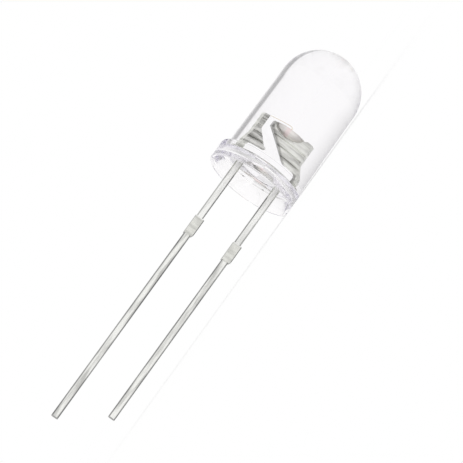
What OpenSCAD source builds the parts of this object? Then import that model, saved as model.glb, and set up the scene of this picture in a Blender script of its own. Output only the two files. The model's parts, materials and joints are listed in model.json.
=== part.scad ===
// Through hole LED: a clear cast lens with a keyed flange, on a stamped pair of leads.
// Lengths are in millimetres. The part lies on the flat of its flange, as it comes to rest:
// the lens axis runs along +X, the anode is above the cathode in the XZ plane, and the
// origin is the centre of the seating plane. Each piece is drawn standing up, with Z along
// the lens axis and the anode on the +X side, and lying() then lays it down.

/* [Lens] */
// Diameter of the lens body where it leaves the flange
body_d = 4.9; // [4.4:0.05:6]
// Height of the lens above its seating plane
lens_h = 9.05; // [7.5:0.05:12]
// Mould draft of the body, in degrees
draft = 0.66; // [0:0.02:1.5]
// Thickness of the flange
flange_t = 1.1; // [0.8:0.05:1.5]
// How far the flange stands out from the body
flange_lip = 0.3; // [0.2:0.05:0.6]
// Radius of the flange's outer edges
flange_edge_r = 0.05; // [0.02:0.01:0.15]
// Gap between the body and the flange's flat, on the cathode side
flat_gap = 0.05; // [0:0.01:0.15]

/* [Hollow seat] */
// Width of the ring that the flange sits on
seat_ring = 0.15; // [0.15:0.01:0.3]
// Depth of the hollow inside that ring, where the resin sank as it set
hollow_depth = 1.05; // [0.2:0.05:1.15]
// Distance over which the hollow's wall curves into its floor
hollow_curve = 0.3; // [0.15:0.01:0.5]

/* [Leads] */
// Distance between the two leads' centre lines
lead_pitch = 2.54; // [2.3:0.02:2.8]
// Width of a lead
lead_w = 0.42; // [0.35:0.01:0.55]
// Thickness of the strip that the leads are stamped from
strip_t = 0.36; // [0.3:0.01:0.55]
// Radius of a lead's long edges
lead_edge_r = 0.1; // [0.02:0.01:0.14]
// Length of the anode lead below the seating plane
anode_len = 17.2; // [8:0.1:30]
// Length of the cathode lead below the seating plane
cathode_len = 15.4; // [8:0.1:30]

/* [Lead necks] */
// Width of a lead where it narrows inside the lens, which locks it in the resin
neck_w = 0.24; // [0.15:0.01:0.35]
// Distance from the lens axis to a neck's centre line
neck_x = 1.2; // [1.12:0.01:1.27]
// Height where the necks start
neck_z = 1.15; // [1.12:0.01:1.3]
// Height where the outer edges of post and anvil turn upright
flare_z = 2.36; // [2:0.02:2.6]

/* [Tie bar stubs] */
// Distance from the seating plane to the stubs
stub_drop = 3.25; // [1:0.05:6]
// Length of a stub along its lead
stub_len = 1.2; // [0.6:0.05:2]
// Width across a stub
stub_w = 0.58; // [0.56:0.01:0.8]
// Radius of a stub's long edges
stub_edge_r = 0.06; // [0.02:0.01:0.14]
// How far a stub is off its lead's centre line, towards the cathode's side
stub_shift = 0.03; // [0:0.01:0.06]
// Chamfer where the bar was sheared off
stub_chamfer = 0.09; // [0.02:0.01:0.2]

/* [Anode post] */
// Height of the post's top
post_top = 3.68; // [3.4:0.02:4.5]
// Width of the post's straight upper end
post_w = 0.24; // [0.2:0.01:0.4]
// Distance from the lens axis to the post's centre
post_x = 1.08; // [1.04:0.01:1.2]
// Height where the post starts to widen downwards
post_waist = 2.78; // [2.4:0.02:3]
// Distance from the lens axis to the tip of the post's wing
wing_x = 0.36; // [0.25:0.01:0.5]
// Height of the underside of the wing and of the anvil
shoulder_z = 1.74; // [1.5:0.02:1.9]
// Thickness of the wing at its tip
wing_t = 0.2; // [0.12:0.01:0.3]
// Radius where a shoulder meets its lead
shoulder_r = 0.24; // [0.1:0.01:0.3]

/* [Cathode anvil] */
// Height of the reflector cup's rim
rim_z = 3.57; // [3.4:0.01:3.7]
// Distance from the lens axis to the anvil's tip, on the post's side
anvil_tip_x = 0.68; // [0.65:0.01:0.75]
// Height of the anvil's upright end, under the rim
anvil_end_h = 0.34; // [0.2:0.02:0.6]
// Distance from the lens axis to where the anvil's slanted edge meets its underside
anvil_foot = 0.42; // [0.3:0.01:0.6]
// Distance from the lens axis to the anvil's outer edge
anvil_x = 1.01; // [0.95:0.01:1.25]
// Width of the tab beside the cup, at its top
tab_w = 0.24; // [0.15:0.01:0.3]
// Height of the tab's top above the cup's rim
tab_rise = 0.1; // [0.04:0.01:0.3]

/* [Reflector cup] */
// Diameter of the cup's mouth
cup_d = 1.08; // [0.8:0.02:1.1]
// Diameter of the cup's floor
cup_floor_d = 0.56; // [0.5:0.02:0.7]
// Depth of the cup
cup_depth = 0.42; // [0.3:0.01:0.45]
// Thickness of the cup's wall at its mouth and under its floor
cup_wall = 0.09; // [0.08:0.01:0.12]

/* [Coined grooves] */
// Height of the lowest groove
groove_z = 2.06; // [1.98:0.02:2.1]
// Distance between grooves
groove_pitch = 0.43; // [0.35:0.01:0.45]
// Depth of a groove
groove_depth = 0.04; // [0.02:0.005:0.06]

/* [Chip and bond] */
// Side of the square chip
chip_w = 0.3; // [0.2:0.01:0.34]
// Height of the chip
chip_h = 0.12; // [0.08:0.01:0.16]
// Diameter of the chip's bond pad
pad_d = 0.11; // [0.1:0.01:0.15]
// Thickness of the adhesive under the chip
attach_t = 0.02; // [0.01:0.005:0.03]
// Width of the adhesive's bead around the chip
attach_bead = 0.03; // [0.01:0.005:0.04]
// Diameter of the bond wire
wire_d = 0.025; // [0.02:0.005:0.05]
// Diameter of the ball that bonds the wire to the chip
ball_d = 0.09; // [0.06:0.005:0.1]
// Height of that ball
ball_h = 0.03; // [0.02:0.005:0.05]
// Radius of the wire's bend over the chip
bend_r = 0.1; // [0.08:0.01:0.2]
// Fall of the wire towards the post, in degrees
wire_fall = 9; // [6:1:25]
// Diameter of the stitch that bonds the wire to the post
stitch_d = 0.12; // [0.08:0.01:0.16]
// Thickness of that stitch
stitch_t = 0.015; // [0.01:0.001:0.02]

/* [Hidden] */
$fn = 96;

// Height of a gold pad on the chip
pad_t = 0.005;
// Clearance by which cutting tools run past a surface
cut = 1;

body_r = body_d / 2;
flange_r = body_r + flange_lip;
flat_x = body_r + flat_gap;
draft_slope = tan(draft);
// The dome is a half ball as wide as the drafted body is where the dome starts
dome_r = (body_r - draft_slope * (lens_h - flange_t)) / (1 - draft_slope);
dome_z = lens_h - dome_r;

lead_x = lead_pitch / 2;
neck_in = neck_x - neck_w / 2;
neck_out = neck_x + neck_w / 2;
neck_top = shoulder_z - shoulder_r;

post_in = post_x - post_w / 2;
post_out = post_x + post_w / 2;
tab_in = anvil_x - tab_w;

cup_floor_z = rim_z - cup_depth;
cup_boss_r = cup_d / 2 + cup_wall;
cup_boss_h = cup_depth + cup_wall;

chip_z = cup_floor_z + attach_t;
pad_z = chip_z + chip_h;
ball_z = pad_z + pad_t;
wire_z = ball_z + ball_h;
// The wire rises to bend_z, turns over and runs straight down onto the post
bend_z = post_top - bend_r * cos(wire_fall)
    + tan(wire_fall) * (post_x - bend_r - bend_r * sin(wire_fall));

// Lays a standing piece down on its cathode side: its Z axis to +X, its X axis to +Z
module lying() {
    rotate([180, -90, 0]) children();
}

// Gives an outline, drawn with Y as height, the thickness of the strip
module stamped() {
    rotate([90, 0, 0]) linear_extrude(strip_t, center = true) children();
}

// Outline of the flange's half section, with round outer edges
module flange_section() {
    straight = flange_t - 2 * flange_edge_r;
    square([flange_r - flange_edge_r, flange_t]);
    translate([0, flange_edge_r]) square([flange_r, straight]);
    for (y = [flange_edge_r, flange_t - flange_edge_r])
        translate([flange_r - flange_edge_r, y]) circle(flange_edge_r);
}

// The outside of the lens, with nothing cast into it
module lens_skin() {
    difference() {
        rotate_extrude() flange_section();
        // The flat that marks the cathode
        translate([-flat_x - cut, -flange_r - cut, -cut])
            cube([cut, 2 * (flange_r + cut), flange_t + 2 * cut]);
    }
    translate([0, 0, flange_t]) cylinder(h = dome_z - flange_t, r1 = body_r, r2 = dome_r);
    translate([0, 0, dome_z]) intersection() {
        sphere(dome_r);
        cylinder(h = 2 * dome_r, r = 2 * dome_r);
    }
}

// The hollow in the seat: steep inside the ring and flat in the middle, cut off beside the flat
module seat_hollow() {
    mouth_r = flange_r - seat_ring;
    steps = 16;
    wall = [for (i = [0 : steps])
        let (inward = mouth_r * pow(i / steps, 2))
        [mouth_r - inward, hollow_depth * (1 - exp(-inward / hollow_curve))]];
    intersection() {
        rotate_extrude() polygon(concat([[0, -cut], [mouth_r, -cut]], wall));
        translate([seat_ring - flat_x, -flange_r, -cut])
            cube([2 * flange_r, 2 * flange_r, flange_t + 2 * cut]);
    }
}

// Section of a bar as thick as the strip, with round long edges
module bar_section(width, edge_r) {
    inner = width - 2 * edge_r;
    depth = strip_t - 2 * edge_r;
    square([inner, strip_t], center = true);
    square([width, depth], center = true);
    for (x = [-inner / 2, inner / 2], y = [-depth / 2, depth / 2])
        translate([x, y]) circle(edge_r);
}

// One lead from its cut end up to its neck
module lead_shank(length) {
    translate([0, 0, -length]) linear_extrude(length + neck_z) bar_section(lead_w, lead_edge_r);
}

// What is left on a lead of the bar that tied the strip together
module tie_bar_stub() {
    half = stub_w / 2;
    top = -stub_drop;
    foot = -stub_drop - stub_len;
    translate([-stub_shift, 0, 0]) intersection() {
        translate([0, 0, foot]) linear_extrude(stub_len) bar_section(stub_w, stub_edge_r);
        stamped() polygon([
            [-half, foot + 2 * stub_chamfer], [-half + stub_chamfer, foot],
            [half, foot], [half, top - stub_chamfer / 2], [half - stub_chamfer / 2, top],
            [-half + stub_chamfer / 2, top], [-half, top - stub_chamfer / 2],
        ]);
    }
}

// Fills the inner corner between a shoulder and its neck, drawn for a lead on the +X side
module shoulder_fillet() {
    difference() {
        translate([neck_in - shoulder_r, neck_top]) square([shoulder_r + neck_w / 2, shoulder_r]);
        translate([neck_in - shoulder_r, neck_top]) circle(shoulder_r);
    }
}

// Grooves coined across both faces of the strip, around x, count of them going up
module coined_grooves(x, width, count) {
    side = groove_depth * sqrt(2);
    for (i = [0 : count - 1], face = [-1, 1])
        translate([x, face * strip_t / 2, groove_z + i * groove_pitch])
            rotate([45, 0, 0]) cube([width, side, side], center = true);
}

module anode_outline() {
    polygon([
        [neck_in, neck_z], [neck_out, neck_z], [neck_out, shoulder_z],
        [post_out, flare_z], [post_out, post_top], [post_in, post_top],
        [post_in, post_waist], [wing_x + wing_t / 2, shoulder_z + wing_t],
        [wing_x + wing_t / 2, shoulder_z], [neck_in, shoulder_z],
    ]);
    translate([wing_x + wing_t / 2, shoulder_z + wing_t / 2]) circle(wing_t / 2);
    shoulder_fillet();
}

module cathode_outline() {
    polygon([
        [-neck_in, neck_z], [-neck_out, neck_z], [-neck_out, shoulder_z],
        [-anvil_x, flare_z], [-anvil_x, rim_z + tab_rise],
        [-tab_in, rim_z + tab_rise], [-tab_in + tab_rise, rim_z],
        [anvil_tip_x, rim_z], [anvil_tip_x, rim_z - anvil_end_h],
        [-anvil_foot, shoulder_z], [-neck_in, shoulder_z],
    ]);
    mirror([1, 0]) shoulder_fillet();
}

module anode_shape() {
    translate([lead_x, 0, 0]) {
        lead_shank(anode_len);
        tie_bar_stub();
    }
    difference() {
        stamped() anode_outline();
        coined_grooves(lead_x, 2 * lead_pitch, 4);
    }
}

module cathode_shape() {
    translate([-lead_x, 0, 0]) {
        lead_shank(cathode_len);
        tie_bar_stub();
    }
    difference() {
        union() {
            difference() {
                stamped() cathode_outline();
                coined_grooves(-lead_x, 2 * lead_pitch, 3);
            }
            cup_boss();
        }
        cup_space();
    }
}

// The bowl that bulges out of both faces of the strip around the cup
module cup_boss() {
    translate([0, 0, rim_z]) intersection() {
        scale([1, 1, cup_boss_h / cup_boss_r]) sphere(cup_boss_r);
        translate([0, 0, -cup_boss_h]) cylinder(h = cup_boss_h, r = cup_boss_r + cut);
    }
}

// The cone that the cup is hollowed out by
module cup_space() {
    translate([0, 0, cup_floor_z]) cylinder(h = cup_depth, d1 = cup_floor_d, d2 = cup_d);
}

module attach_shape() {
    translate([0, 0, cup_floor_z])
        cylinder(h = attach_t, d = chip_w * sqrt(2) + 2 * attach_bead);
}

module chip_shape() {
    translate([-chip_w / 2, -chip_w / 2, chip_z]) cube([chip_w, chip_w, chip_h]);
    translate([0, 0, pad_z]) cylinder(h = pad_t, d = pad_d);
}

module wire_shape() {
    run = (post_x - bend_r - bend_r * sin(wire_fall)) / cos(wire_fall);
    translate([0, 0, ball_z]) cylinder(h = ball_h, d = ball_d);
    translate([0, 0, wire_z]) cylinder(h = bend_z - wire_z, d = wire_d);
    translate([bend_r, 0, bend_z]) rotate([90, 0, 180])
        rotate_extrude(angle = 90 + wire_fall) translate([bend_r, 0]) circle(d = wire_d);
    difference() {
        translate([bend_r, 0, bend_z]) rotate([0, wire_fall, 0])
            translate([0, 0, bend_r]) rotate([0, 90, 0]) cylinder(h = run + wire_d, d = wire_d);
        translate([post_x - cut / 2, -cut / 2, post_top - cut]) cube(cut);
    }
    translate([post_x, 0, post_top]) cylinder(h = stitch_t, d = stitch_d);
}

module lens() {
    color([0.88, 0.9, 0.95, 0.4]) lying() difference() {
        lens_skin();
        seat_hollow();
        anode_shape();
        cathode_shape();
        attach_shape();
        chip_shape();
        wire_shape();
    }
}

module anode_lead() {
    color([0.75, 0.75, 0.72]) lying() anode_shape();
}

module cathode_lead() {
    color([0.75, 0.75, 0.72]) lying() cathode_shape();
}

module die_attach() {
    color([0.62, 0.62, 0.6]) lying() attach_shape();
}

module led_chip() {
    color([0.82, 0.55, 0.5]) lying() chip_shape();
}

module bond_wire() {
    color([0.95, 0.75, 0.3]) lying() wire_shape();
}

lens();
anode_lead();
cathode_lead();
die_attach();
led_chip();
bond_wire();
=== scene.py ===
import json
import math
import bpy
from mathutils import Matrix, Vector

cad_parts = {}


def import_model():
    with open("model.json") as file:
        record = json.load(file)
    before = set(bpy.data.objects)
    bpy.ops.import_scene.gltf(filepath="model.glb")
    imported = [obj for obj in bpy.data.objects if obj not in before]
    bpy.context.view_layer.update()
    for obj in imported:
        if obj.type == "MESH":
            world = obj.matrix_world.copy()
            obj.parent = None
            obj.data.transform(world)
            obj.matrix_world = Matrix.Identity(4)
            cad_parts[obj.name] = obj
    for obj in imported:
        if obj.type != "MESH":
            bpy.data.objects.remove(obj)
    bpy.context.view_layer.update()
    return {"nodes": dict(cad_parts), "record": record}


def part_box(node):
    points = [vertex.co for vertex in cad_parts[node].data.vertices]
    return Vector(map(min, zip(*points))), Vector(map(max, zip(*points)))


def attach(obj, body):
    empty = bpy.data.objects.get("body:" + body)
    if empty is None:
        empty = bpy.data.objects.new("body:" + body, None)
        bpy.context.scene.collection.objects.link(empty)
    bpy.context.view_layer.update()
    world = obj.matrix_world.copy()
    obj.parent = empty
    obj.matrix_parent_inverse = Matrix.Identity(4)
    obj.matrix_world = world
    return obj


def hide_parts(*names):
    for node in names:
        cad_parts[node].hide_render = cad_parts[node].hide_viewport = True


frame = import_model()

from types import SimpleNamespace

import bmesh
import bpy
from mathutils import Matrix, Vector

MM = 0.001

# ---- Sizes from the frame --------------------------------------------------------------

LENS_LO, LENS_HI = (Vector(corner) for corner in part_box("lens"))
MOUNTS = {mount["name"]: mount for mount in frame["record"]["mounts"]}
FLANGE_T = MOUNTS["panel_shoulder"]["pos_m"][0]
FLANGE_R = min(LENS_HI.y, LENS_HI.z)
FLAT_Z = LENS_LO.z

# ---- Sizes that repeat the part's source -----------------------------------------------

BODY_R = 2.45 * MM
DRAFT = math.tan(math.radians(0.66))
# Radius of the flange's edges
EDGE_R = 0.05 * MM
# The seat is a hollow inside a narrow ring: the resin sank there as it set
SEAT_RING = 0.15 * MM
HOLLOW_DEPTH = 1.05 * MM
HOLLOW_CURVE = 0.3 * MM
# The stubs of the tie bar on the leads
STUB_TOP = -3.25 * MM
STUB_FOOT = -4.45 * MM
# The slanted edge of the cathode's anvil: its upper end, its lower end and the way into the metal
SLANT_TOP = Vector((3.23 * MM, 0, 0.68 * MM))
SLANT_FOOT = Vector((1.74 * MM, 0, -0.42 * MM))
SLANT_IN = Vector((0, 1, 0)).cross(SLANT_TOP - SLANT_FOOT).normalized()

# ---- What only this scene says about the lens ------------------------------------------

# Radius where the body stands on the flange, and how finely each part of the lens is divided
ROOT_R = 0.05 * MM
TURNS = 192
HOLLOW_STEPS = 40
EDGE_STEPS = 8
ROOT_STEPS = 6
BODY_STEPS = 24
DOME_STEPS = 48
# Edges that turn by more than this aren't shaded smooth
SHARP_ANGLE = math.radians(35)

# ---- Tones and textures ----------------------------------------------------------------

# Each tone runs between two colours. First comes the noise value and the colour at its dark end,
# then the same at its light end.
TONES = {
    "bright_tin": (0.35, (0.72, 0.72, 0.70), 0.6, (0.95, 0.95, 0.93)),
    "dull_tin": (0.35, (0.56, 0.56, 0.53), 0.6, (0.76, 0.76, 0.72)),
    "darker_tin": (0.38, (0.54, 0.54, 0.52), 0.58, (0.90, 0.90, 0.87)),
    # Painted light and shade on the leads' sides: a lit side, a shaded side and the darkest shade on
    # the stubs' downward sides
    "lit_tin_side": (0.3, (0.34, 0.34, 0.33), 0.7, (0.66, 0.66, 0.64)),
    "shaded_tin_side": (0.3, (0.18, 0.18, 0.18), 0.7, (0.42, 0.42, 0.41)),
    "stub_underside_shade": (0.3, (0.06, 0.06, 0.06), 0.7, (0.18, 0.18, 0.17)),
    "anode_plate": (0.38, (0.25, 0.25, 0.23), 0.6, (0.73, 0.73, 0.70)),
    "cathode_plate": (0.38, (0.50, 0.50, 0.47), 0.6, (0.87, 0.88, 0.83)),
    # The plating's lit copy, which the necks' faces also take, then its shaded copy for painted shade
    "light_plate": (0.3, (0.45, 0.46, 0.42), 0.7, (0.85, 0.86, 0.80)),
    "shaded_plate": (0.3, (0.16, 0.16, 0.15), 0.7, (0.42, 0.42, 0.40)),
    "bowl": (0.35, (0.80, 0.77, 0.73), 0.6, (0.98, 0.95, 0.91)),
    # A painted reflection of the chip in the cup's bowl
    "painted_chip_reflection": (0.35, (0.80, 0.69, 0.67), 0.6, (0.98, 0.86, 0.84)),
    "adhesive": (0.35, (0.42, 0.42, 0.41), 0.65, (0.72, 0.72, 0.70)),
    "chip": (0.35, (0.60, 0.36, 0.33), 0.65, (0.80, 0.56, 0.52)),
    "gold": (0.35, (0.84, 0.66, 0.38), 0.65, (0.98, 0.86, 0.58)),
}
# Waves per metre along each axis, for streaks that run along the leads and across them
DRAWN_WAVES = (500, 5000, 5000)
COINED_WAVES = (4500, 900, 900)
# A lead's roughness in its darkest and its lightest streaks
METAL_ROUGHNESS = (0.22, 0.42)
BUMP_STRENGTH = 0.3
STREAK_HEIGHT = 0.01 * MM
GRAIN_HEIGHT = 0.003 * MM

# ---- Where a lead's tones change -------------------------------------------------------

# Each step runs from a value where it is 0 to one where it is 1. These are along the lens axis,
# and below is away from the lens.
BELOW_STUB_TOP = (STUB_TOP, STUB_TOP - 0.1 * MM)
BELOW_STUB_FOOT = (STUB_FOOT, STUB_FOOT - 0.1 * MM)
BELOW_SEAT = (0, -0.1 * MM)
IN_HOLLOW = (-0.2 * MM, 0.1 * MM)
IN_RESIN = (0.9 * MM, 1.2 * MM)
ON_NECK = (1.7 * MM, 1.5 * MM)
ON_ANVIL = (1.6 * MM, 1.75 * MM)
# This one is outward from the middle of the strip, which the cup's bowl stands out of
ON_BOWL = (0.19 * MM, 0.23 * MM)
# These are on the share of the surface's normal along z or, for the cut ends, along x
ON_SIDE = (0.1, 0.45)
# Where a side faces down, which on the stubs takes the darkest painted shade
ON_DOWNWARD_SIDE = (-0.1, -0.3)
ON_CUT_END = (-0.7, -0.9)
# Each band has its two limits and the soft length outside them, along the lens axis or across it
STUB_ALONG = (STUB_FOOT, STUB_TOP, 0.05 * MM)
# Painted shade on the cathode's tip and on the near half of its neck
TIP_ALONG = (3.1 * MM, 3.5 * MM, 0.1 * MM)
TIP_ACROSS = (0.63 * MM, 0.72 * MM, 0.08 * MM)
NECK_ALONG = (1.15 * MM, 1.65 * MM, 0.15 * MM)
NECK_ACROSS = (-1.16 * MM, -1.0 * MM, 0.08 * MM)
# Where the painted reflection of the chip lies in the bowl
CHIP_REFLECTION_ACROSS = (0.04 * MM, 0.12 * MM, 0.12 * MM)
# The width of the painted shade beside the slanted edge, its soft length and how far it darkens the
# metal
SLANT_WIDTH = 0.05 * MM
SLANT_SOFT = 0.1 * MM
SLANT_SHARE = 0.75

# ---- Light and camera ------------------------------------------------------------------

# The sky and the sun together bring the floor's light to 1
SKY_LIGHT = 0.8
SUN_FROM = Vector((-0.15, -0.6, 1))
SUN_ANGLE = math.radians(20)
# The floor's own tone, and half its width
FLOOR_TONE = 0.9
FLOOR_HALF = 0.6
# Refracted rays see this tone square to the y axis, and white where this share of their way or
# more is along y
SIDE_TONE = 0.58
WHITE_SHARE = 0.85
# Light runs round inside the flange many times before it leaves
BOUNCES = 96
# The camera is turned to the lead side of square, and its picture is turned to lean the part over
LEAD_SIDE = math.radians(17)
LEAN = math.radians(35.9)
# Its target is measured from the origin, towards the lens and towards the cathode as it sees them
TARGET_LENSWARD = -2.689 * MM
TARGET_CATHODEWARD = 0.606 * MM
CAMERA_DISTANCE = 0.30
# What the picture's width takes in at the target
PICTURE_WIDTH = 25.51 * MM
# In millimetres, as Blender has it
SENSOR_WIDTH = 36
CLIP_START = 0.01
CLIP_END = 10


# ---- Helpers ---------------------------------------------------------------------------

def new_object(name, bm):
    """An object from a bmesh, which is freed."""
    mesh = bpy.data.meshes.new(name)
    bm.to_mesh(mesh)
    bm.free()
    thing = bpy.data.objects.new(name, mesh)
    bpy.context.collection.objects.link(thing)
    return thing


def new_material(name):
    material = bpy.data.materials.new(name)
    material.use_nodes = True
    material.node_tree.nodes.clear()
    return material, material.node_tree


def node(tree, kind, **values):
    made = tree.nodes.new("ShaderNode" + kind)
    for key, value in values.items():
        setattr(made, key, value)
    return made


def link(tree, source, target):
    tree.links.new(source, target)


def surface(tree, shader):
    """Makes a shader the material's surface and gives back the output node."""
    out = node(tree, "OutputMaterial")
    link(tree, shader.outputs[0], out.inputs["Surface"])
    return out


def reckon(tree, operation, *values):
    sums = node(tree, "Math", operation=operation)
    for value, socket in zip(values, sums.inputs):
        link(tree, value, socket)
    return sums.outputs[0]


def part_of(tree, vector, axis):
    parts = node(tree, "SeparateXYZ")
    link(tree, vector, parts.inputs[0])
    return parts.outputs[axis]


def soft_step(tree, source, start, end, top=1.0):
    """Rises softly from 0 at the start to the top at the end, which may be the smaller value."""
    step = node(tree, "MapRange", interpolation_type="SMOOTHSTEP")
    step.inputs["From Min"].default_value = start
    step.inputs["From Max"].default_value = end
    step.inputs["To Max"].default_value = top
    link(tree, source, step.inputs["Value"])
    return step.outputs[0]


def band(tree, source, low, high, soft):
    """1 between two values, which falls to 0 over a soft length outside them."""
    rise = soft_step(tree, source, low - soft, low)
    return reckon(tree, "MULTIPLY", rise, soft_step(tree, source, high + soft, high))


def spread(tree, source, start, end, reach=1.0):
    """Goes evenly from start to end as the source goes from 0 to reach. End is a number or a socket."""
    run = node(tree, "MapRange")
    run.inputs["From Max"].default_value = reach
    run.inputs["To Min"].default_value = start
    if isinstance(end, float):
        run.inputs["To Max"].default_value = end
    else:
        link(tree, end, run.inputs["To Max"])
    link(tree, source, run.inputs["Value"])
    return run.outputs[0]


def blend(tree, factor, first, second):
    mix = node(tree, "Mix", data_type="RGBA")
    link(tree, factor, mix.inputs["Factor"])
    link(tree, first, mix.inputs["A"])
    link(tree, second, mix.inputs["B"])
    return mix.outputs["Result"]


def blend_shaders(tree, factor, first, second):
    mix = node(tree, "MixShader")
    link(tree, factor, mix.inputs[0])
    link(tree, first.outputs[0], mix.inputs[1])
    link(tree, second.outputs[0], mix.inputs[2])
    return mix


def tone(tree, noise, name):
    """The colour of one of the tones, as noise picks it."""
    low, dark, high, light = TONES[name]
    shade = node(tree, "ValToRGB")
    for stop, place, colour in zip(shade.color_ramp.elements, (low, high), (dark, light)):
        stop.position = place
        stop.color = (*colour, 1)
    link(tree, noise, shade.inputs["Fac"])
    return shade.outputs["Color"]


def streaks(tree, spot, waves, shift=0.0):
    """Noise with its own waves per metre along each axis, shifted by a number of waves along x."""
    stretch = node(tree, "Mapping")
    stretch.inputs["Scale"].default_value = waves
    stretch.inputs["Location"].default_value = (shift, 0, 0)
    link(tree, spot, stretch.inputs["Vector"])
    noise = node(tree, "TexNoise")
    noise.inputs["Scale"].default_value = 1.0
    noise.inputs["Detail"].default_value = 4.0
    link(tree, stretch.outputs[0], noise.inputs["Vector"])
    return noise.outputs["Fac"]


def bump(tree, shader, noise, height):
    relief = node(tree, "Bump")
    relief.inputs["Strength"].default_value = BUMP_STRENGTH
    relief.inputs["Distance"].default_value = height
    link(tree, noise, relief.inputs["Height"])
    link(tree, relief.outputs[0], shader.inputs["Normal"])


def background_rays(tree):
    """1 for the rays that see the background: the camera's, mirrored ones and refracted ones."""
    path = node(tree, "LightPath")
    first = reckon(tree, "MAXIMUM", path.outputs["Is Camera Ray"], path.outputs["Is Glossy Ray"])
    return reckon(tree, "MAXIMUM", first, path.outputs["Is Transmission Ray"])


# ---- Lens ------------------------------------------------------------------------------

def arc(centre, radius, start, end, steps):
    """Points (x, r) on an arc, with angles in degrees from +x towards +r."""
    cx, cr = centre
    angles = [math.radians(start + (end - start) * i / steps) for i in range(steps + 1)]
    return [(cx + radius * math.cos(a), cr + radius * math.sin(a)) for a in angles]


def hollow_profile():
    """The hollow seat's half section as (x, r), from its middle out to its mouth."""
    mouth = FLANGE_R - SEAT_RING
    points = []
    for i in range(HOLLOW_STEPS):
        inward = mouth * (1 - i / HOLLOW_STEPS) ** 2
        depth = HOLLOW_DEPTH * (1 - math.exp(-inward / HOLLOW_CURVE))
        points.append((depth, mouth - inward))
    return points + [(0, mouth)]


def outer_profile():
    """The outer half section as (x, r), from the flange's seat up to the dome's tip."""
    rim = FLANGE_R - EDGE_R
    dome_r = (BODY_R - DRAFT * (LENS_HI.x - FLANGE_T)) / (1 - DRAFT)
    dome_x = LENS_HI.x - dome_r
    body_x = FLANGE_T + ROOT_R
    body = []
    for i in range(BODY_STEPS):
        x = body_x + (dome_x - body_x) * i / BODY_STEPS
        body.append((x, BODY_R - DRAFT * (x - FLANGE_T)))
    return (
        arc((EDGE_R, rim), EDGE_R, 180, 90, EDGE_STEPS)
        + arc((FLANGE_T - EDGE_R, rim), EDGE_R, 90, 0, EDGE_STEPS)
        + arc((body_x, BODY_R + ROOT_R), ROOT_R, 180, 270, ROOT_STEPS)[:-1]
        + body
        + arc((dome_x, 0), dome_r, 90, 0, DOME_STEPS)
    )


def ring_of_points(bm, x, r, flat):
    """A ring around the lens axis, which runs straight along the flat where that cuts it."""
    ring = []
    for k in range(TURNS):
        angle = 2 * math.pi * k / TURNS
        y = r * math.sin(angle)
        z = -r * math.cos(angle)
        if x <= FLANGE_T and z < flat:
            y *= flat / z
            z = flat
        ring.append(bm.verts.new((x, y, z)))
    return ring


def lens_skin():
    """The outside of the lens in one clear piece, turned about its axis and cut flat at the flange."""
    bm = bmesh.new()
    hollow = hollow_profile()
    outer = outer_profile()
    rings = [ring_of_points(bm, x, r, FLAT_Z + SEAT_RING) for x, r in hollow[1:]]
    rings += [ring_of_points(bm, x, r, FLAT_Z) for x, r in outer[:-1]]
    for low, high in zip(rings, rings[1:]):
        for k in range(TURNS):
            n = (k + 1) % TURNS
            bm.faces.new((low[k], low[n], high[n], high[k]))
    for ring, end in ((rings[0], hollow[0]), (rings[-1], outer[-1])):
        middle = bm.verts.new((end[0], 0, 0))
        for k in range(TURNS):
            bm.faces.new((ring[k], ring[(k + 1) % TURNS], middle))
    bmesh.ops.recalc_face_normals(bm, faces=bm.faces)
    piece = new_object("lens_skin", bm)
    for face in piece.data.polygons:
        face.use_smooth = True
    piece.data.set_sharp_from_angle(angle=SHARP_ANGLE)
    return piece


def clear_epoxy():
    """Clear resin with a faint violet tint, whose shadow lets most of the light through."""
    material, tree = new_material("clear_epoxy")
    glass = node(tree, "BsdfPrincipled")
    glass.inputs["Base Color"].default_value = (1.0, 0.99, 0.995, 1)
    glass.inputs["Transmission Weight"].default_value = 1.0
    glass.inputs["IOR"].default_value = 1.53
    glass.inputs["Roughness"].default_value = 0.0
    shadow = node(tree, "BsdfTransparent")
    shadow.inputs["Color"].default_value = (0.88, 0.875, 0.89, 1)
    tint = node(tree, "VolumeAbsorption")
    tint.inputs["Color"].default_value = (0.80, 0.785, 0.85, 1)
    tint.inputs["Density"].default_value = 34
    in_shadow = node(tree, "LightPath").outputs["Is Shadow Ray"]
    out = surface(tree, blend_shaders(tree, in_shadow, glass, shadow))
    link(tree, tint.outputs[0], out.inputs["Volume"])
    return material


# ---- Leads -----------------------------------------------------------------------------

def lead_inputs(tree, inward, shift):
    """What a lead's colour is worked out from: places, slopes and streaks."""
    place = node(tree, "TexCoord")
    spot = place.outputs["Object"]
    slope = part_of(tree, place.outputs["Normal"], "Z")
    return SimpleNamespace(
        spot=spot,
        along=part_of(tree, spot, "X"),
        across=part_of(tree, spot, "Z"),
        off_strip=reckon(tree, "ABSOLUTE", part_of(tree, spot, "Y")),
        slope=slope,
        end_slope=part_of(tree, place.outputs["Normal"], "X"),
        # Sides that face the other lead, which take painted shade
        facing_in=soft_step(tree, slope, *(inward * value for value in ON_SIDE)),
        drawn=streaks(tree, spot, DRAWN_WAVES),
        coined=streaks(tree, spot, COINED_WAVES, shift),
    )


def tin_face(tree, at):
    """Bright near the lens, dull on the stubs and a little darker beyond them."""
    bright = tone(tree, at.drawn, "bright_tin")
    dull = tone(tree, at.coined, "dull_tin")
    darker_beyond = tone(tree, at.drawn, "darker_tin")
    upper = blend(tree, soft_step(tree, at.along, *BELOW_STUB_TOP), bright, dull)
    return blend(tree, soft_step(tree, at.along, *BELOW_STUB_FOOT), upper, darker_beyond)


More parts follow.
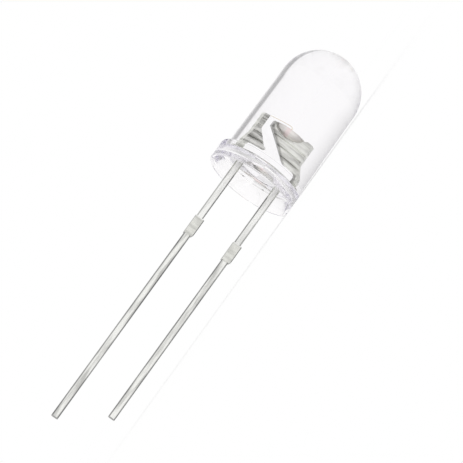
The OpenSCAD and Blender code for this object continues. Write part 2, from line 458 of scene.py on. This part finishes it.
def painted_side_shade(tree, at):
    """Painted shade on the leads' sides: dark, but with painted light above the stubs where they face
    outward. The stubs' sides are light, with a very dark painted shade on the side that faces the
    floor."""
    light = tone(tree, at.drawn, "lit_tin_side")
    dark = tone(tree, at.drawn, "shaded_tin_side")
    underside_shade = tone(tree, at.drawn, "stub_underside_shade")
    outer = blend(tree, soft_step(tree, at.along, *BELOW_STUB_TOP), light, dark)
    shank = blend(tree, at.facing_in, outer, dark)
    stub = blend(tree, soft_step(tree, at.slope, *ON_DOWNWARD_SIDE), light, underside_shade)
    return blend(tree, band(tree, at.along, *STUB_ALONG), shank, stub)


def painted_plate_shade(tree, at):
    """How much painted shade the plated faces take: fully at the cathode's tip and on its neck, and
    mostly beside its slanted edge. The line of that edge also takes in the top corner of the anode's
    post."""
    inset = node(tree, "VectorMath", operation="DOT_PRODUCT")
    link(tree, at.spot, inset.inputs[0])
    inset.inputs[1].default_value = SLANT_IN
    edge = SLANT_IN.dot(SLANT_TOP)
    beside = band(tree, inset.outputs["Value"], edge, edge + SLANT_WIDTH, SLANT_SOFT)
    on_anvil = soft_step(tree, at.along, *ON_ANVIL, top=SLANT_SHARE)
    slant = reckon(tree, "MULTIPLY", beside, on_anvil)
    tip_along = band(tree, at.along, *TIP_ALONG)
    tip = reckon(tree, "MULTIPLY", tip_along, band(tree, at.across, *TIP_ACROSS))
    neck_along = band(tree, at.along, *NECK_ALONG)
    neck = reckon(tree, "MULTIPLY", neck_along, band(tree, at.across, *NECK_ACROSS))
    return reckon(tree, "MAXIMUM", slant, reckon(tree, "MAXIMUM", tip, neck))


def bowl_tone(tree, at):
    """The cup's bright bowl, with a painted reflection of the chip's colour in its middle."""
    chip_reflection = band(tree, at.across, *CHIP_REFLECTION_ACROSS)
    return blend(tree, chip_reflection, tone(tree, at.coined, "bowl"), tone(tree, at.coined, "painted_chip_reflection"))


def cut_end(tree, at):
    """1 on the ends of the leads and of their stubs that face away from the lens."""
    facing_away = soft_step(tree, at.end_slope, *ON_CUT_END)
    return reckon(tree, "MULTIPLY", facing_away, soft_step(tree, at.along, *BELOW_SEAT))


def lead_colour(tree, at, plate):
    """Tin outside the resin and plating inside it, with painted light and shade on the sides. In the
    hollow the sides are as light as plating.
    """
    light = tone(tree, at.coined, "light_plate")
    dark = tone(tree, at.coined, "shaded_plate")
    # The leads' sides in painted light and shade
    side_shade_colour = painted_side_shade(tree, at)
    in_resin = soft_step(tree, at.along, *IN_RESIN)
    on_neck = soft_step(tree, at.along, *ON_NECK)
    plated_faces = blend(tree, on_neck, tone(tree, at.coined, plate), light)
    faces = blend(tree, in_resin, tin_face(tree, at), plated_faces)
    sides = blend(tree, soft_step(tree, at.along, *IN_HOLLOW), side_shade_colour, light)
    # In the resin the sides take painted light where they face out and painted shade where they face
    # the other lead
    sides = blend(tree, in_resin, sides, blend(tree, at.facing_in, light, dark))
    on_side = soft_step(tree, reckon(tree, "ABSOLUTE", at.slope), *ON_SIDE)
    colour = blend(tree, on_side, faces, sides)
    # Painted shade on the plated faces
    colour = blend(tree, painted_plate_shade(tree, at), colour, dark)
    colour = blend(tree, soft_step(tree, at.off_strip, *ON_BOWL), colour, bowl_tone(tree, at))
    # The cut ends take the same painted shade as the sides
    return blend(tree, cut_end(tree, at), colour, side_shade_colour)


def stamped_metal(name, plate, inward, shift):
    """A lead's metal. Plate is the tone of its faces in the resin, inward is 1 or -1 where the other
    lead is towards +z or -z, and shift moves the coined streaks."""
    material, tree = new_material(name)
    at = lead_inputs(tree, inward, shift)
    metal = node(tree, "BsdfPrincipled")
    metal.inputs["Metallic"].default_value = 1.0
    link(tree, lead_colour(tree, at, plate), metal.inputs["Base Color"])
    link(tree, spread(tree, at.drawn, *METAL_ROUGHNESS), metal.inputs["Roughness"])
    bump(tree, metal, at.drawn, STREAK_HEIGHT)
    surface(tree, metal)
    return material


# ---- Chip, adhesive and wire -----------------------------------------------------------

def grainy(name, tone_name, metallic, roughness, grain):
    """A material whose tone wanders between two colours, with grain waves per metre."""
    material, tree = new_material(name)
    noise = streaks(tree, node(tree, "TexCoord").outputs["Object"], (grain, grain, grain))
    shader = node(tree, "BsdfPrincipled")
    shader.inputs["Metallic"].default_value = metallic
    shader.inputs["Roughness"].default_value = roughness
    link(tree, tone(tree, noise, tone_name), shader.inputs["Base Color"])
    bump(tree, shader, noise, GRAIN_HEIGHT)
    surface(tree, shader)
    return material


# ---- Floor, light and camera -----------------------------------------------------------

def floor():
    """A pale floor that the part lies on, which glows up to white for the rays that see it."""
    bm = bmesh.new()
    bmesh.ops.create_grid(bm, x_segments=1, y_segments=1, size=FLOOR_HALF)
    ground = new_object("floor", bm)
    ground.location = (0, 0, FLAT_Z)
    material, tree = new_material("floor")
    matt = node(tree, "BsdfDiffuse")
    matt.inputs["Color"].default_value = (FLOOR_TONE, FLOOR_TONE, FLOOR_TONE, 1)
    glow = node(tree, "Emission")
    strength = spread(tree, background_rays(tree), 0, 1 - FLOOR_TONE)
    link(tree, strength, glow.inputs["Strength"])
    both = node(tree, "AddShader")
    link(tree, matt.outputs[0], both.inputs[0])
    link(tree, glow.outputs[0], both.inputs[1])
    surface(tree, both)
    ground.data.materials.append(material)


def world():
    """White, but greyer where the lens bends the view to the sides, overhead or to the ends."""
    sky = bpy.data.worlds.new("studio")
    bpy.context.scene.world = sky
    sky.use_nodes = True
    tree = sky.node_tree
    tree.nodes.clear()
    way = node(tree, "TexCoord").outputs["Generated"]
    depth = reckon(tree, "ABSOLUTE", part_of(tree, way, "Y"))
    refracted = spread(tree, depth, SIDE_TONE, 1.0, WHITE_SHARE)
    through_lens = node(tree, "LightPath").outputs["Is Transmission Ray"]
    seen = spread(tree, through_lens, 1.0, refracted)
    back = node(tree, "Background")
    back.inputs["Color"].default_value = (1, 1, 1, 1)
    strength = spread(tree, background_rays(tree), SKY_LIGHT, seen)
    link(tree, strength, back.inputs["Strength"])
    out = node(tree, "OutputWorld")
    link(tree, back.outputs[0], out.inputs["Surface"])


def key_light():
    """A wide, soft sun, which brings the floor's light to 1 together with the sky."""
    light = bpy.data.lights.new("key", "SUN")
    light.angle = SUN_ANGLE
    aim = -SUN_FROM.normalized()
    light.energy = (1 - SKY_LIGHT) * math.pi / -aim.z
    thing = bpy.data.objects.new("key", light)
    thing.rotation_euler = aim.to_track_quat("-Z", "Y").to_euler()
    # Metal and resin show the white surroundings only, with no hot spot
    thing.visible_glossy = False
    thing.visible_transmission = False
    bpy.context.collection.objects.link(thing)


def painted_shadow_card(name, low, high, fade, grey):
    """A painted shadow: a grey card lying behind the part that glows in place of the part's shadow,
    fades out at its edges and only refraction shows.
    """
    bm = bmesh.new()
    corners = [(low[0], low[1]), (high[0], low[1]), (high[0], high[1]), (low[0], high[1])]
    bm.faces.new([bm.verts.new((x, y, low[2])) for x, y in corners])
    card = new_object(name, bm)
    material, tree = new_material(name)
    place = node(tree, "TexCoord").outputs["Object"]
    shades = []
    for axis in (0, 1):
        full = (low[axis] + fade[axis], high[axis] - fade[axis])
        shades.append(band(tree, part_of(tree, place, axis), *full, fade[axis]))
    glow = node(tree, "Emission")
    glow.inputs["Color"].default_value = (grey, grey, grey, 1)
    shade = reckon(tree, "MULTIPLY", *shades)
    surface(tree, blend_shaders(tree, shade, node(tree, "BsdfTransparent"), glow))
    card.data.materials.append(material)
    card.visible_camera = False
    card.visible_diffuse = False
    card.visible_glossy = False
    card.visible_shadow = False


def camera():
    """A level camera in front of the part, which sees the two leads a little from their cut ends."""
    view = Vector((math.sin(LEAD_SIDE), math.cos(LEAD_SIDE), 0))
    lens_way = (Vector((1, 0, 0)) - view * view.x).normalized()
    cathode_way = view.cross(lens_way)
    right = math.sin(LEAN) * lens_way + math.cos(LEAN) * cathode_way
    up = math.cos(LEAN) * lens_way - math.sin(LEAN) * cathode_way
    target = TARGET_LENSWARD * lens_way + TARGET_CATHODEWARD * cathode_way
    data = bpy.data.cameras.new("camera")
    data.sensor_width = SENSOR_WIDTH
    data.lens = SENSOR_WIDTH * CAMERA_DISTANCE / PICTURE_WIDTH
    data.clip_start = CLIP_START
    data.clip_end = CLIP_END
    thing = bpy.data.objects.new("camera", data)
    turn = Matrix((right, up, -view)).transposed().to_4x4()
    thing.matrix_world = Matrix.Translation(target - view * CAMERA_DISTANCE) @ turn
    bpy.context.collection.objects.link(thing)
    bpy.context.scene.camera = thing


# ---- The scene -------------------------------------------------------------------------

def dress(name, material):
    mesh = frame["nodes"][name].data
    mesh.materials.clear()
    mesh.materials.append(material)


skin = lens_skin()
skin.data.materials.append(clear_epoxy())
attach(skin, "root")
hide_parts("lens")

dress("anode_lead", stamped_metal("anode_metal", "anode_plate", inward=-1, shift=0.0))
dress("cathode_lead", stamped_metal("cathode_metal", "cathode_plate", inward=1, shift=2.9))
dress("die_attach", grainy("silver_adhesive", "adhesive", metallic=0.6, roughness=0.5, grain=30000))
dress("led_chip", grainy("chip", "chip", metallic=0.0, roughness=0.4, grain=12000))
dress("bond_wire", grainy("gold_wire", "gold", metallic=1.0, roughness=0.25, grain=20000))

floor()
world()
key_light()
# A painted shadow behind the part, seen only through the lens
painted_shadow_card(
    "painted_shadow_card",
    low=(0.5 * MM, 2.65 * MM, FLAT_Z + 0.1 * MM),
    high=(13 * MM, 4.6 * MM),
    fade=(3 * MM, 0.6 * MM),
    grey=0.34,
)
camera()

cycles = bpy.context.scene.cycles
cycles.max_bounces = BOUNCES
cycles.transmission_bounces = BOUNCES
cycles.glossy_bounces = BOUNCES
bpy.context.scene.view_settings.view_transform = "Standard"
